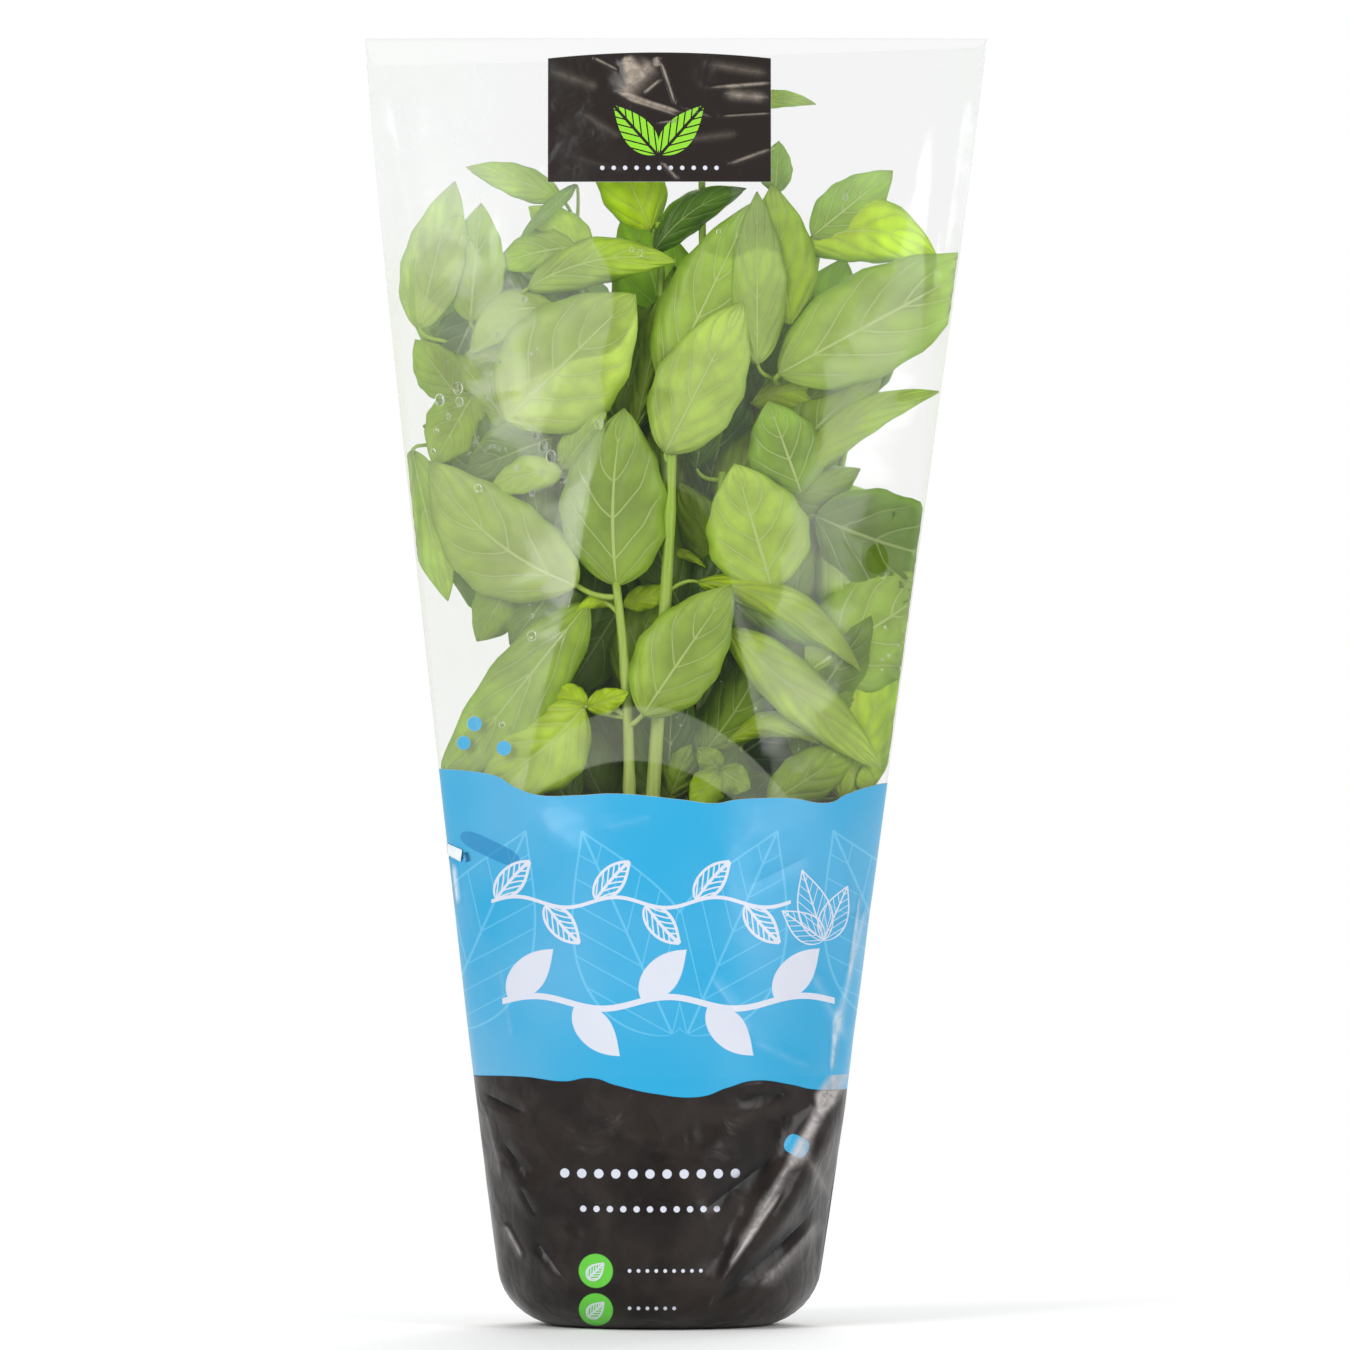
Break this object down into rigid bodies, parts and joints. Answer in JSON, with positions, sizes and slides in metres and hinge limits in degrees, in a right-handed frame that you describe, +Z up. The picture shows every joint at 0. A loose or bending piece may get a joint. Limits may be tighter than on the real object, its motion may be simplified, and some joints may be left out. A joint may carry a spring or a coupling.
{
  "type": "bag of fresh basil",
  "caption": "Tapered clear film sleeve of fresh living basil, standing on a printed opaque foot with round corners, its mouth pressed nearly flat.",
  "frame": {"origin": "on the ground under the middle of the mouth, bottom centre of the bounding box", "axes": "+Z up from the foot to the mouth, +X across the sleeve to the right as seen from the front, front faces -Y"},
  "size_m": [0.1692, 0.0778, 0.35],
  "materials": {
    "film": "thin clear glossy film, with opaque blue and dark brown print on its lower part",
    "leaf": "soft semi-gloss green leaf with pale veins",
    "stem": "pale green satin stem",
    "soil": "dark crumbly growing medium",
    "water": "small clear water drops"
  },
  "bodies": {
    "root": {"sleeve": "film"}
  },
  "joints": []
}
